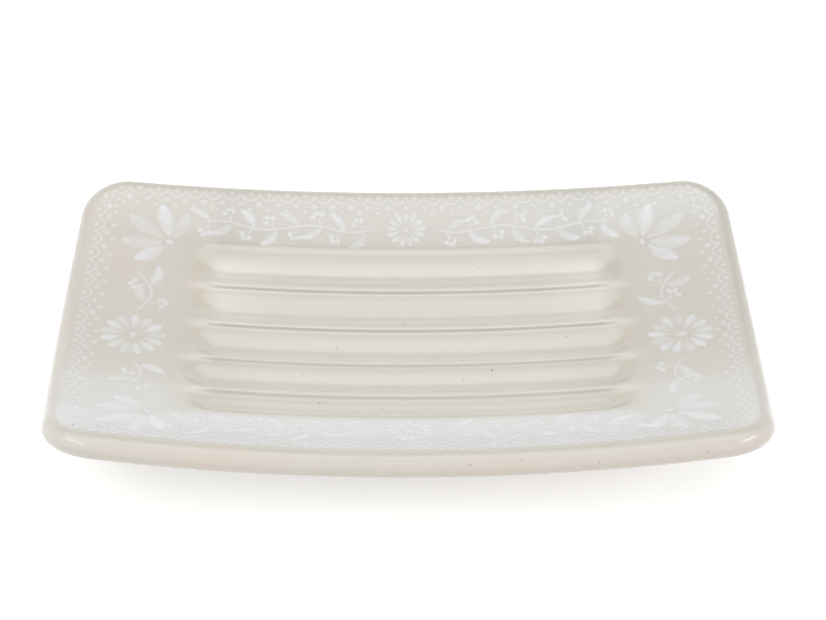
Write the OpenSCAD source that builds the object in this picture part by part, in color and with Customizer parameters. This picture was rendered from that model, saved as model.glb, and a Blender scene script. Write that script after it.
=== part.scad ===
// Soap dish: a shallow stoneware tray, dished both ways, with scooped drain flutes in
// its floor and a full-round rim, standing on a bare foot ring.
// Millimetres, Z up. The origin is on the table, under the middle of the dish.

/* [Tray] */
// Overall length, over the bowed short ends
tray_l = 150; // [136:1:190]
// Overall width, over the bowed long sides
tray_w = 96.5; // [90:0.5:130]
// Thickness of the slab, and of the full-round rim
slab_t = 5.5; // [4.5:0.1:7]
// Plan radius of the corners, at the outside of the rim
corner_r = 10; // [6:0.5:13]
// How far a short end bows out past its corners
end_bow = 2.3; // [0:0.1:5]
// How far a long side bows out past its corners
side_bow = 1.5; // [0:0.1:4]
// Rise of the short ends above the middle of the dish
end_rise = 5.6; // [2:0.1:9]
// Rise of the long sides above the middle of the dish
side_rise = 8.8; // [4:0.1:12]

/* [Flutes] */
// Number of flutes, side by side
flute_n = 5; // [3:1:5]
// Spacing of the ridges between the flutes
flute_pitch = 12; // [8:0.1:12.6]
// Depth of a flute below the dish
flute_depth = 2.1; // [1:0.1:3]
// Length of the flutes, end to end
flute_l = 101; // [70:1:112]
// Length of the scooped run-out at each end of a flute
run_out = 7; // [5:0.5:18]
// Squareness of the flutes' ends in plan, where 2 makes round tongues
end_square = 2; // [1.5:0.5:4]
// Width over which a ridge's crest is rounded off
crest_w = 12; // [2:0.5:14]
// How much further the two outer flutes reach, for their softer lips
lip_w = 1; // [0:0.1:1.5]

/* [Foot] */
// Length of the foot ring
foot_l = 92; // [60:1:104]
// Width of the foot ring
foot_w = 50; // [36:1:56]
// Plan radius of the foot ring's corners, at the outside
foot_r = 12; // [8:0.5:16]
// Wall of the foot ring
foot_t = 4.4; // [3:0.1:6]
// Height of the bare ring
foot_h = 2.8; // [1.5:0.1:4]
// Rounding of the edges that the ring stands on
foot_edge_r = 1; // [0.4:0.1:1.4]
// How far the glazed seat for the ring stands down from the tray
seat_drop = 1.6; // [0.5:0.1:2.5]
// Margin of the glazed seat round the bare ring
seat_margin = 0.4; // [0.2:0.1:1]
// Flare at the root of the seat's walls
root_w = 2.2; // [1:0.1:3]
// Smallest plan radius kept at the corners inside the ring
least_r = 1.5; // [0.5:0.1:3]

/* [Hidden] */

$fn = 96;

// The rim's centre line, which all round is half the slab's thickness in from the edge
rim_r = slab_t / 2;
half_l = tray_l / 2 - rim_r - end_bow;
half_w = tray_w / 2 - rim_r - side_bow;
arc_r = corner_r - rim_r;

// Height of the slab's middle surface at the centre of the dish
mid_z = foot_h + seat_drop + rim_r;

// Where a flute keeps its full depth, and where its outer lip ends
straight_l = flute_l / 2 - run_out;
band_w = flute_n * flute_pitch / 2;
crest_share = crest_w / flute_pitch;

// Rows across one flute from crest to floor, and across the border outside the flutes
fall_shares = [0, 0.13, 0.3, 0.58, 1];
border_shares = [0.18, 0.45, 0.72];
// Steps of the mesh: round a corner, round the rim, and along each stretch of a flute
CORNER_STEPS = 5;
RIM_STEPS = 8;
MIDDLE_STEPS = 4;
RUN_OUT_STEPS = 5;
MARGIN_STEPS = 4;
// Rings on the underside: to the seat's root, down its wall, and inside the foot
under_shares = [0.3, 0.65, 1];
wall_shares = [0.4, 1];
inner_shares = [0.35, 0.7];

QUARTER = 90;

// Places in the plan

// A row of the plan: share of the straight side, and angle within a corner
rows = concat(
    [for (k = [0:CORNER_STEPS]) [-1, -QUARTER * (1 - k / CORNER_STEPS)]],
    [for (b = straight_rows()) [b / (half_w - arc_r), 0]],
    [for (k = [0:CORNER_STEPS]) [1, QUARTER * k / CORNER_STEPS]]);

function reversed(v) = [for (k = [len(v) - 1:-1:0]) v[k]];

function border_rows() =
    [for (s = border_shares) band_w + s * (half_w - arc_r - band_w)];

function flute_rows(k) =
    let (crest = k * flute_pitch - band_w, fall = fall_shares * flute_pitch / 2)
    concat([for (f = fall) crest + f],
           [for (i = [len(fall) - 2:-1:1]) crest + flute_pitch - fall[i]]);

function straight_rows() = concat(
    -reversed(border_rows()),
    [for (k = [0:flute_n - 1]) each flute_rows(k)],
    [band_w],
    border_rows());

// Columns of the plan, as shares of a row's half length, closest together at the run-outs
half_columns =
    let (reach = half_l + end_bow, a = straight_l / reach, b = flute_l / 2 / reach)
    concat([for (k = [1:MIDDLE_STEPS]) a * k / MIDDLE_STEPS],
           [for (k = [1:RUN_OUT_STEPS]) a + (b - a) * k / RUN_OUT_STEPS],
           [for (k = [1:MARGIN_STEPS]) b + (1 - b) * k / MARGIN_STEPS]);
columns = concat(-reversed(half_columns), [0], half_columns);

NX = len(columns) - 1;
NY = len(rows) - 1;

// A point of a rounded rectangle's plan, from a column's share and a row
function plan(s, row, hx, hy, r) =
    [s * (hx - r + r * cos(row[1])), row[0] * (hy - r) + r * sin(row[1])];

// The sides bow out in the middle, and the whole plan with them
function bowed(p) = [
    p.x * (1 + end_bow / half_l * (1 - pow(p.y / half_w, 2))),
    p.y * (1 + side_bow / half_w * (1 - pow(p.x / half_l, 2)))];

// Grid places [column, row] once round the edge, anticlockwise from above
edge = concat(
    [for (i = [0:NX - 1]) [i, 0]],
    [for (j = [0:NY - 1]) [NX, j]],
    [for (i = [NX:-1:1]) [i, NY]],
    [for (j = [NY:-1:1]) [0, j]]);
NE = len(edge);

// The edge place k on a rounded rectangle, and the way out from the rim there
function edge_plan(k, hx, hy, r) =
    plan(columns[edge[k][0]], rows[edge[k][1]], hx, hy, r);
function way_out(k) =
    let (i = edge[k][0], j = edge[k][1], a = rows[j][1])
    j == 0 ? [0, -1, 0] : j == NY ? [0, 1, 0]
    : i == 0 ? [-cos(a), sin(a), 0] : [cos(a), sin(a), 0];

// Places on the slab

function mid_at(p) =
    [p.x, p.y, mid_z + end_rise * pow(p.x / half_l, 2) + side_rise * pow(p.y / half_w, 2)];

function normal_at(p) =
    let (v = [-2 * end_rise * p.x / pow(half_l, 2), -2 * side_rise * p.y / pow(half_w, 2), 1])
    v / norm(v);

function off_slab(p, d) = mid_at(p) + d * normal_at(p);

// How deep a place lies in its flute, as a share: 1 on the floor, 0 from the lip outwards.
// The crest between two flutes is rounded, so the share leaves 0 with no corner.
function rounded_off(t) =
    (sqrt(t * t + crest_share * crest_share) - crest_share)
    / (sqrt(1 + crest_share * crest_share) - crest_share);
function scoop(q) = let (t = rounded_off(max(0, 1 - q))) t * (2 - t);

function flute_share(x, b) =
    let (last = (flute_n - 1) / 2,
         k = min(last, max(-last, round(b / flute_pitch - last) + last)),
         away = abs(b) - last * flute_pitch,
         half = away > 0 ? flute_pitch / 2 + lip_w : flute_pitch / 2,
         across = abs(b - k * flute_pitch) / half,
         along = max(0, abs(x) - straight_l) / run_out)
    scoop(pow(pow(across, end_square) + pow(along, end_square), 1 / end_square));

// The tray's skin: the fluted top as a grid, then rings round the rim and underneath
function top_point(i, j) =
    let (p = plan(columns[i], rows[j], half_l, half_w, arc_r), q = bowed(p))
    off_slab(q, rim_r - flute_depth * flute_share(q.x, p.y));

function rim_ring(turn) = [for (k = [0:NE - 1])
    let (p = bowed(edge_plan(k, half_l, half_w, arc_r)),
         n = normal_at(p), o = way_out(k), flat = o - (o * n) * n)
    mid_at(p) + rim_r * (cos(turn) * flat / norm(flat) + sin(turn) * n)];

// The edge place k on the seat's outline, grown by d
function seat_plan(k, d) =
    let (g = seat_margin + d)
    edge_plan(k, foot_l / 2 + g, foot_w / 2 + g, max(foot_r + g, least_r));

function under_ring(share) = [for (k = [0:NE - 1])
    off_slab((1 - share) * bowed(edge_plan(k, half_l, half_w, arc_r))
             + share * seat_plan(k, root_w), -rim_r)];

// One ring of a seat wall, from its flared root on the slab to its foot
function wall_ring(share, foot, flare) = [for (k = [0:NE - 1])
    let (out = seat_plan(k, foot + flare * pow(1 - share, 2)),
         root = off_slab(seat_plan(k, foot + flare), -rim_r))
    [out.x, out.y, root.z + share * (foot_h - root.z)]];

inner_foot = -foot_t - 2 * seat_margin;
function inner_ring(share) = [for (k = [0:NE - 1])
    off_slab((1 - share) * seat_plan(k, inner_foot - root_w), -rim_r)];

rings = concat(
    [for (k = [1:RIM_STEPS]) rim_ring(QUARTER - 2 * QUARTER * k / RIM_STEPS)],
    [for (s = under_shares) under_ring(s)],
    [for (s = wall_shares) wall_ring(s, 0, root_w)],
    [for (s = reversed(wall_shares)) wall_ring(s, inner_foot, -root_w)],
    [wall_ring(0, inner_foot, -root_w)],
    [for (s = inner_shares) inner_ring(s)]);

function grid_index(place) = place[1] * (NX + 1) + place[0];
function ring_index(r, k) =
    r == 0 ? grid_index(edge[k % NE]) : (NX + 1) * (NY + 1) + (r - 1) * NE + k % NE;

// Two triangles for the four corners a, b, c, d, clockwise from outside
function pair(a, b, c, d) = [[a, b, c], [a, c, d]];

module tray() {
    top = [for (j = [0:NY]) for (i = [0:NX]) top_point(i, j)];
    under = [for (ring = rings) each ring];
    middle = len(top) + len(under);
    top_faces = [for (j = [0:NY - 1]) for (i = [0:NX - 1])
        each pair(grid_index([i, j]), grid_index([i, j + 1]),
                  grid_index([i + 1, j + 1]), grid_index([i + 1, j]))];
    ring_faces = [for (r = [0:len(rings) - 1]) for (k = [0:NE - 1])
        each pair(ring_index(r, k), ring_index(r, k + 1),
                  ring_index(r + 1, k + 1), ring_index(r + 1, k))];
    last_faces = [for (k = [0:NE - 1])
        [ring_index(len(rings), k), ring_index(len(rings), k + 1), middle]];
    color("#ddd8cb")
        polyhedron(concat(top, under, [off_slab([0, 0], -rim_r)]),
                   concat(top_faces, ring_faces, last_faces));
}

// Section of the bare ring, from its outer face inwards: it stands on rounded edges
module foot_section() {
    translate([-foot_t, foot_edge_r]) square([foot_t, foot_h - foot_edge_r]);
    translate([foot_edge_r - foot_t, 0]) square([foot_t - 2 * foot_edge_r, foot_h]);
    for (x = [-foot_edge_r, foot_edge_r - foot_t])
        translate([x, foot_edge_r]) circle(foot_edge_r);
}

// One straight side of the ring, centred on the Y axis, with its outer face at y = out
module foot_side(length, out) {
    translate([-length / 2, out, 0])
        rotate([QUARTER, 0, QUARTER])
            linear_extrude(length) foot_section();
}

module foot_ring() {
    long = foot_l - 2 * foot_r;
    short = foot_w - 2 * foot_r;
    color("#cbb9a2") {
        for (turn = [0, 2 * QUARTER]) rotate(turn) {
            foot_side(long, foot_w / 2);
            rotate(QUARTER) foot_side(short, foot_l / 2);
            translate([long / 2, short / 2, 0])
                rotate_extrude(angle = QUARTER) translate([foot_r, 0]) foot_section();
            translate([-long / 2, short / 2, 0])
                rotate(QUARTER)
                    rotate_extrude(angle = QUARTER) translate([foot_r, 0]) foot_section();
        }
    }
}

tray();
foot_ring();
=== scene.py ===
"""A glazed stoneware soap dish with drain flutes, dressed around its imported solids.

The tray is modelled again at full smoothness, with its decoration in raised white slip.
The bare foot ring keeps its own solid. Sizes are in millimetres until a mesh is made.
"""
import logging
import math
from dataclasses import dataclass
from enum import Enum
from typing import Any, Callable, Mapping

import bpy
import numpy as np
from mathutils import Matrix, Vector


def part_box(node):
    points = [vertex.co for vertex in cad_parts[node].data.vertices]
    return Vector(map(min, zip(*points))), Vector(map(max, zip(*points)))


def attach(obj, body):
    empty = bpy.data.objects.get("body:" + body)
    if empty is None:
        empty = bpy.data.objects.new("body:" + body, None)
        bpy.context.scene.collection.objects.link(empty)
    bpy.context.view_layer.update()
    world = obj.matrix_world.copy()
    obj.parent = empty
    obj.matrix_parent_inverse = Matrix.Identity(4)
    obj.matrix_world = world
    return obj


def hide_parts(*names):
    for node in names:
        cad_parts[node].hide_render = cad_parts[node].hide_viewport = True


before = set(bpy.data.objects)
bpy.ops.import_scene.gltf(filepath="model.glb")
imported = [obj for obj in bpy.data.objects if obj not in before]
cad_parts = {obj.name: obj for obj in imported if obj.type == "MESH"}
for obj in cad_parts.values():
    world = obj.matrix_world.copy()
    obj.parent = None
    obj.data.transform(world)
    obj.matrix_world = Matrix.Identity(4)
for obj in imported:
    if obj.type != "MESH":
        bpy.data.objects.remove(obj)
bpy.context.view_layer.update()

LOG = logging.getLogger("soap_dish")
MM = 0.001

# Sockets of a Mix node that is set to colours
MIX_FACTOR = 0
MIX_A = 6
MIX_B = 7
MIX_RESULT = 2

Socket = bpy.types.NodeSocket
Tree = bpy.types.NodeTree
# Places and the values there, with straight lines between
Profile = tuple[tuple[float, float], ...]
Span = tuple[float, float]


def read_off(profile: Profile, places: np.ndarray | float) -> np.ndarray:
    """Returns a profile's values at places."""
    return np.interp(places, *zip(*profile))


def ramp(value: np.ndarray, start: np.ndarray | float, end: np.ndarray | float) -> np.ndarray:
    """Returns shares that rise from zero at start to one at end."""
    return np.clip((value - start) / (end - start), 0, 1)


def hump(distance: np.ndarray, flat: float, reach: float) -> np.ndarray:
    """Returns shares that are one up to flat on both sides of zero, and zero from reach on."""
    return 1 - ramp(np.abs(distance), flat, reach)


def toward(angle: float) -> np.ndarray:
    """Returns the unit step at an angle in the plan."""
    return np.array([math.cos(angle), math.sin(angle)])


def leftward(step: np.ndarray) -> np.ndarray:
    """Returns steps in the plan once turned a quarter turn to the left."""
    return np.stack([-step[..., 1], step[..., 0]], -1)


def linear(hex_colour: str) -> tuple[float, float, float, float]:
    """Turns an sRGB hex colour to the linear one that a shader takes.

    Args:
        hex_colour: The colour as #RRGGBB.

    Returns:
        Red, green and blue in linear light, and an alpha of one.
    """
    shares = [int(hex_colour[i:i + 2], 16) / 255 for i in (1, 3, 5)]
    red, green, blue = (s / 12.92 if s <= 0.04045 else ((s + 0.055) / 1.055) ** 2.4
                        for s in shares)
    return (red, green, blue, 1.0)


def add_node(tree: Tree, kind: str, settings: Mapping[str, Any] | None = None,
             inputs: Mapping[str | int, Any] | None = None) -> bpy.types.Node:
    """Adds one node with its settings and links.

    Args:
        tree: The node tree that takes the node.
        kind: The node's type, such as ShaderNodeBump.
        settings: Properties of the node and their values.
        inputs: Input sockets, each with its value or the output socket to link from.

    Returns:
        The new node.
    """
    node = tree.nodes.new(kind)
    for name, value in (settings or {}).items():
        setattr(node, name, value)
    for name, value in (inputs or {}).items():
        if isinstance(value, Socket):
            tree.links.new(value, node.inputs[name])
        else:
            node.inputs[name].default_value = value
    return node


def per_mm(size: float) -> float:
    """Returns the texture scale at which a pattern's cells measure size millimetres."""
    return 1.0 / (size * MM)


def new_material(name: str) -> tuple[bpy.types.Material, Tree]:
    """Returns a new material and its node tree, which is empty."""
    material = bpy.data.materials.new(name)
    material.use_nodes = True
    material.node_tree.nodes.clear()
    return material, material.node_tree


def linked(name: str, data: bpy.types.ID) -> bpy.types.Object:
    """Returns a new object that holds the data, linked to the scene."""
    thing = bpy.data.objects.new(name, data)
    bpy.context.scene.collection.objects.link(thing)
    return thing


def smooth_mesh(name: str, points: np.ndarray, faces: list[tuple[int, ...]],
                shades: Mapping[str, np.ndarray] | None = None) -> bpy.types.Object:
    """Makes a smooth-shaded mesh object, in metres, from points in millimetres.

    Args:
        name: The piece's name.
        points: One row of x, y and z for each vertex.
        faces: Vertex numbers of each face, anticlockwise from outside.
        shades: Named values, one for each vertex, that the material reads.

    Returns:
        The new object, linked to the scene.
    """
    mesh = bpy.data.meshes.new(name)
    mesh.from_pydata((points * MM).tolist(), [], faces)
    for label, values in (shades or {}).items():
        attribute = mesh.attributes.new(label, "FLOAT", "POINT")
        attribute.data.foreach_set("value", np.asarray(values, np.float32))
    mesh.polygons.foreach_set("use_smooth", [True] * len(mesh.polygons))
    mesh.update()
    return linked(name, mesh)


def dress(piece: bpy.types.Object, material: bpy.types.Material) -> None:
    """Gives a piece its material.

    Args:
        piece: The object to dress.
        material: The material that covers all of it.
    """
    piece.data.materials.clear()
    piece.data.materials.append(material)
    LOG.info("%s: %d faces, %s", piece.name, len(piece.data.polygons), material.name)


@dataclass(frozen=True)
class DishForm:
    """The dish's shape: a slab dished both ways, with scooped flutes and bowed sides."""

    # Outer length and width, and how high the bare foot stands
    length: float
    width: float
    foot_h: float
    slab_t: float = 5.5
    corner_r: float = 10.0
    # How far the middles of the short and the long sides bow out
    end_bow: float = 2.3
    side_bow: float = 1.5
    # How high the short and the long sides lie above the middle
    end_rise: float = 5.6
    side_rise: float = 8.8
    # How far the glazed seat reaches down to the foot
    seat_drop: float = 1.6
    # The flutes: their number, spacing, depth and length over all, how much of that is the
    # run-out at each end, how square its tongue is, and the roundness of the ridges
    flute_n: int = 5
    flute_pitch: float = 12.0
    flute_depth: float = 2.1
    flute_l: float = 101.0
    run_out: float = 7.0
    end_square: float = 2.0
    crest_w: float = 12.0
    # How much wider an outer flute is on its outer side
    lip_w: float = 1.0
    # The nearest flute, as the maker's hand left it: how far its outer lip stays back from
    # where the farthest one's lies, and its depth beside the others'
    near_in: float = 3.4
    near_depth_share: float = 0.8
    # How far each flute, nearest first, falls short at its left end and at its right
    left_short: tuple[float, ...] = (3.7, 1.2, 2.5, 2.7, 1.8)
    right_short: tuple[float, ...] = (2.9, 1.0, 0.0, 0.9, 1.3)

    @classmethod
    def from_frame(cls) -> "DishForm":
        """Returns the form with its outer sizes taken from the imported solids."""
        low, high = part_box("tray")
        foot_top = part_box("foot_ring")[1].z
        return cls((high.x - low.x) / MM, (high.y - low.y) / MM, foot_top / MM)

    @property
    def rim_r(self) -> float:
        """Radius of the full-round rim."""
        return self.slab_t / 2

    @property
    def half_l(self) -> float:
        """Half length of the rim's centre line, without the bow."""
        return self.length / 2 - self.rim_r - self.end_bow

    @property
    def half_w(self) -> float:
        """Half width of the rim's centre line, without the bow."""
        return self.width / 2 - self.rim_r - self.side_bow

    @property
    def arc_r(self) -> float:
        """Plan radius of the rim's centre line at a corner."""
        return self.corner_r - self.rim_r

    @property
    def mid_z(self) -> float:
        """Height of the slab's middle surface at the centre of the dish."""
        return self.foot_h + self.seat_drop + self.rim_r

    @property
    def straight_l(self) -> float:
        """How far from the middle a flute keeps its full depth."""
        return self.flute_l / 2 - self.run_out

    @property
    def band_w(self) -> float:
        """Half width of the fluted floor, before the bow."""
        return self.flute_n * self.flute_pitch / 2

    @property
    def near_lip(self) -> float:
        """Distance from the middle to the nearest flute's outer lip, before the bow."""
        return self.band_w + self.lip_w - self.near_in

    def bowed(self, plan: np.ndarray) -> np.ndarray:
        """Bows the sides of the plan outwards.

        Args:
            plan: Places, with x and y last.

        Returns:
            The places once bowed.
        """
        x, y = plan[..., 0], plan[..., 1]
        out_x = 1 + self.end_bow / self.half_l * (1 - (y / self.half_w) ** 2)
        out_y = 1 + self.side_bow / self.half_w * (1 - (x / self.half_l) ** 2)
        return np.stack([x * out_x, y * out_y], -1)

    def middle(self, place: np.ndarray) -> np.ndarray:
        """Returns the points of the slab's middle surface at bowed places."""
        x, y = place[..., 0], place[..., 1]
        rise = self.end_rise * (x / self.half_l) ** 2 + self.side_rise * (y / self.half_w) ** 2
        return np.stack([x, y, self.mid_z + rise], -1)

    def normal(self, place: np.ndarray) -> np.ndarray:
        """Returns the slab's upward unit normals at bowed places."""
        x, y = place[..., 0], place[..., 1]
        slope = np.stack([-2 * self.end_rise * x / self.half_l ** 2,
                          -2 * self.side_rise * y / self.half_w ** 2,
                          np.ones_like(x)], -1)
        return slope / np.linalg.norm(slope, axis=-1, keepdims=True)

    def off_slab(self, place: np.ndarray, distance: np.ndarray | float) -> np.ndarray:
        """Returns points at a distance from the middle surface, along its normal."""
        return self.middle(place) + np.asarray(distance)[..., None] * self.normal(place)

    def rounded_off(self, share: np.ndarray) -> np.ndarray:
        """Softens the corner that a scoop would have at its lip, as the crest's width says."""
        soft = self.crest_w / self.flute_pitch
        return ((np.sqrt(share ** 2 + soft ** 2) - soft)
                / (math.sqrt(1 + soft ** 2) - soft))

    def beyond(self, x: np.ndarray, across: np.ndarray) -> np.ndarray:
        """Works out how far places lie past the stretch where their flute has its full depth.

        Args:
            x: Bowed places along the flutes.
            across: Places across the flutes, before the bow.

        Returns:
            The distances, less than zero along that stretch.
        """
        middles = (np.arange(self.flute_n) - (self.flute_n - 1) / 2) * self.flute_pitch
        left, right = (np.interp(across, middles, short)
                       for short in (self.left_short, self.right_short))
        return np.abs(x) + np.where(x < 0, left, right) - self.straight_l

    def flute_share(self, x: np.ndarray, across: np.ndarray) -> np.ndarray:
        """Works out how deep places lie in their flute, as a share of its depth.

        Args:
            x: Bowed places along the flutes.
            across: Places across the flutes, before the bow.

        Returns:
            One on a flute's floor, and zero from its lip outwards.
        """
        last = (self.flute_n - 1) / 2
        own = np.clip(np.round(across / self.flute_pitch - last) + last, -last, last)
        outer = np.abs(across) > last * self.flute_pitch
        half = self.flute_pitch / 2 + np.where(outer, self.lip_w, 0.0)
        near = own == -last
        crest = self.band_w - self.flute_pitch
        half = np.where(near, (self.near_lip - crest) / 2, half)
        middle = np.where(near, -(self.near_lip + crest) / 2, own * self.flute_pitch)
        side = np.abs(across - middle) / half
        end = np.maximum(0, self.beyond(x, across)) / self.run_out
        out = (side ** self.end_square + end ** self.end_square) ** (1 / self.end_square)
        fall = self.rounded_off(np.maximum(0, 1 - out))
        return fall * (2 - fall) * np.where(near, self.near_depth_share, 1.0)

    def top(self, plan: np.ndarray, lift: np.ndarray | float = 0.0) -> np.ndarray:
        """Returns points on the glazed top, or lift above it, over places of the plan."""
        place = self.bowed(plan)
        depth = self.flute_depth * self.flute_share(place[..., 0], plan[..., 1])
        # Beyond the rim's centre line, the top follows the rim's round
        past_arc = np.abs(plan) - (self.half_l - self.arc_r, self.half_w - self.arc_r)
        over = np.linalg.norm(np.maximum(0, past_arc), axis=-1) - self.arc_r
        over = np.clip(over, 0, self.rim_r)
        depth = depth + self.rim_r - np.sqrt(self.rim_r ** 2 - over ** 2)
        return self.off_slab(place, self.rim_r - depth + lift)


@dataclass
class GlazedTray:
    """The tray, pressed over a mould and dipped in glaze, with the foot's seat below."""

    form: DishForm
    # Steps of the mesh round a corner and the rim, along the flutes, their run-outs and the
    # border past them, across a flute and the border, and underneath
    corner_steps: int = 14
    rim_steps: int = 22
    middle_steps: int = 46
    run_out_steps: int = 20
    margin_steps: int = 26
    flute_steps: int = 28
    border_steps: int = 16
    under_steps: int = 14
    wall_steps: int = 8
    inner_steps: int = 12
    # How strongly the rows crowd together towards the crests
    crowding: float = 0.75
    # The foot ring's wall and corner, the seat's margin round it, and how far its root flares
    foot_t: float = 4.4
    foot_r: float = 12.0
    seat_margin: float = 0.4
    root_w: float = 2.2

    # Depths of the glaze run from 0, where the clay shows through, to 1, where it pools.
    # Beside the ridges, lips and rim they also carry painted highlights and painted shade
    even_glaze: float = 0.5
    # How it lies beside a ridge, from the near side over its crest to the far side: thin on
    # the crest, in a roll on each side of it, pooled beyond. The dark crest is partly painted
    # shade, and the pale rolls are partly painted highlights
    ridge_glaze_and_light: Profile = (
        (-6.0, 0.52), (-4.6, 0.54), (-3.3, 0.56), (-2.2, 0.43), (-1.8, 0.34), (-1.4, 0.32),
        (-1.0, 0.6), (-0.7, 0.66), (-0.3, 0.09), (0.0, 0.13), (0.3, 0.27), (0.65, 0.79),
        (0.95, 0.77), (1.5, 0.62), (2.2, 0.62), (2.9, 0.6), (4.4, 0.63), (6.0, 0.52))
    # For each ridge, nearest first: how far the roll on its near side stands off, how far
    # the whole lies towards the near side, and the painted light added on its far slope and
    # its crest (painted shade where below zero)
    ridge_spread: tuple[float, ...] = (1.3, 0.95, 0.9, 0.75)
    ridge_shift: tuple[float, ...] = (0.35, 0.0, 0.0, 0.0)
    slope_painted_light: tuple[float, ...] = (0.38, 0.28, 0.08, -0.05)
    crest_painted_light: tuple[float, ...] = (0.18, 0.12, 0.0, 0.0)
    # How far past the crest that slope lies, and both widths, each as the half width that
    # takes it in full and the one where it ends
    slope_out: float = 3.0
    slope_w: Span = (0.48, 2.08)
    crest_w: Span = (1 / 6, 0.5)
    # How the glaze lies in the nearest flute, from its outer lip inwards, up to its ridge,
    # with painted highlights and painted shade in its bands
    near_glaze_and_light: Profile = (
        (-1.0, 0.52), (0.0, 0.5), (1.1, 0.6), (4.3, 0.62), (4.9, 0.5), (5.5, 0.55),
        (6.3, 0.59), (6.7, 0.5), (7.2, 0.34), (7.6, 0.29), (7.8, 0.4), (8.1, 0.62))
    # The same in the farthest one, as far as its own middle, with a painted dark line and a
    # painted highlight at its lip
    lip_glaze_and_light: Profile = (
        (-1.0, 0.41), (-0.3, 0.41), (0.2, 0.12), (0.6, 0.36), (1.0, 0.56), (1.8, 0.54),
        (2.1, 0.36), (2.4, 0.42), (3.0, 0.48), (3.6, 0.56), (5.0, 0.66))
    # Painted shade near the flutes' ends, as glaze taken away, from the near side to the far
    # one (painted light where below zero), and between which distances from the middle that
    # comes on
    end_painted_shade: Profile = (
        (-24.0, 0.08), (-12.0, 0.09), (0.0, 0.06), (12.0, -0.08), (24.0, -0.14), (30.0, 0.12))
    end_run: Span = (30.0, 40.0)
    # How much thinner it lies past them, and how far before a flute's run-out that starts
    margin_thin: float = 0.08
    margin_in: float = 2.0
    # The short pale tail that each ridge leaves past its end, partly a painted highlight: its
    # glaze, how far past the start of the run-out its middle lies, and its width and length,
    # as two half widths
    tail_glaze_and_highlight: float = 0.28
    tail_out: float = 4.0
    tail_w: Span = (0.65, 1.95)
    tail_l: Span = (0.8, 4.8)
    # How the glaze lies round the rim, by the angle from its outside up to the top, partly a
    # painted highlight where it peaks, and what is added from its left end to its right,
    # which paints the right end darker
    rim_glaze_and_highlight: Profile = (
        (-1.57, 0.52), (-0.5, 0.56), (0.0, 0.59), (0.4, 0.67), (0.65, 0.55), (0.85, 0.44),
        (1.2, 0.42), (1.57, 0.42))
    rim_ends: Profile = ((-1.0, 0.03), (0.0, 0.0), (1.0, -0.2))

    # How far the clay's warmth shows on the rim, what is added from the top down on its
    # near side, and what is added at its left end
    rim_warmth: float = 0.1
    near_rim_warmth: float = 0.42
    left_rim_warmth: float = 0.3
    # The same on the top, by shares of a flute's run-out, and in the far left corner
    end_warmth: Profile = ((0.0, 0.08), (0.6, 0.2), (1.4, 0.08))
    corner_warmth: float = 0.3
    corner_warm_x: Span = (42.0, 58.0)
    corner_warm_y: Span = (-5.0, 20.0)

    # The painted sheen on the rim, a pale bluish wash, from its left end to its right
    rim_sheen: Profile = ((-1.0, 0.2), (0.0, 0.0), (1.0, 0.1))
    # The painted sheen on the near border, a pale bluish wash that stands in for light and
    # for the reflection of the pale backdrop, what the right end lacks of it, and the one on
    # the far border, with what is added towards its right end
    near_sheen: float = 0.72
    near_sheen_less: float = 0.3
    far_sheen: float = 0.26
    far_sheen_slant: float = 0.1
    # How far in from a lip the painted sheen starts and over what width it comes on. Past
    # the flutes it starts that width further in, and ends the last of these further out
    sheen_in: float = 1.0
    sheen_rise: float = 3.0
    sheen_spread: float = 4.0
    # The painted sheen in the near corners, what the right one lacks and the left one has
    # more, where it comes on towards the near side, and the share that covers the rest of an
    # end
    corner_sheen: float = 0.43
    corner_sheen_less: float = 0.02
    corner_sheen_y: Span = (8.0, 22.0)
    end_sheen_share: float = 0.35
    # From where to where, about the flutes' ends, a border's painted sheen gives way to a
    # corner's
    sheen_turn: Span = (-2.0, 4.0)

    # Glaze, warmth and painted sheen underneath, and the glaze's roll at the foot of the
    # seat's walls
    under_skin: tuple[float, float, float] = (0.5, 0.3, 0.0)
    wall_roll: float = 0.3

    def rows(self) -> tuple[np.ndarray, np.ndarray]:
        """Returns each plan row's share of the straight side, and its angle in a corner."""
        form = self.form
        reach = form.half_w - form.arc_r
        pitches = np.linspace(0, form.flute_n, form.flute_n * self.flute_steps + 1)
        full_turn = 2 * math.pi
        crowded = pitches - self.crowding * np.sin(full_turn * pitches) / full_turn
        fluted = crowded * form.flute_pitch - form.band_w
        border = np.linspace(form.band_w, reach, self.border_steps + 1)
        straight = np.concatenate([-border[:0:-1], fluted, border[1:]]) / reach
        turn = np.linspace(0, math.pi / 2, self.corner_steps + 1)
        share = np.concatenate([-np.ones(self.corner_steps), straight, np.ones(self.corner_steps)])
        angle = np.concatenate([-turn[:0:-1], np.zeros(len(straight)), turn[1:]])
        return share, angle

    def columns(self) -> np.ndarray:
        """Returns the plan columns, as shares of a row's half length."""
        form = self.form
        reach = form.half_l + form.end_bow
        inner = form.straight_l / reach
        outer = form.flute_l / 2 / reach
        half = np.concatenate([np.linspace(0, inner, self.middle_steps + 1)[1:],
                               np.linspace(inner, outer, self.run_out_steps + 1)[1:],
                               np.linspace(outer, 1, self.margin_steps + 1)[1:]])
        return np.concatenate([-half[::-1], [0], half])

    @staticmethod
    def rounded(column: np.ndarray, share: np.ndarray, angle: np.ndarray,
                half_x: float, half_y: float, radius: float) -> np.ndarray:
        """Returns places of a rounded rectangle's plan, from columns and rows."""
        x = column * (half_x - radius + radius * np.cos(angle))
        y = share * (half_y - radius) + radius * np.sin(angle)
        return np.stack([x, y], -1)

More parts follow.
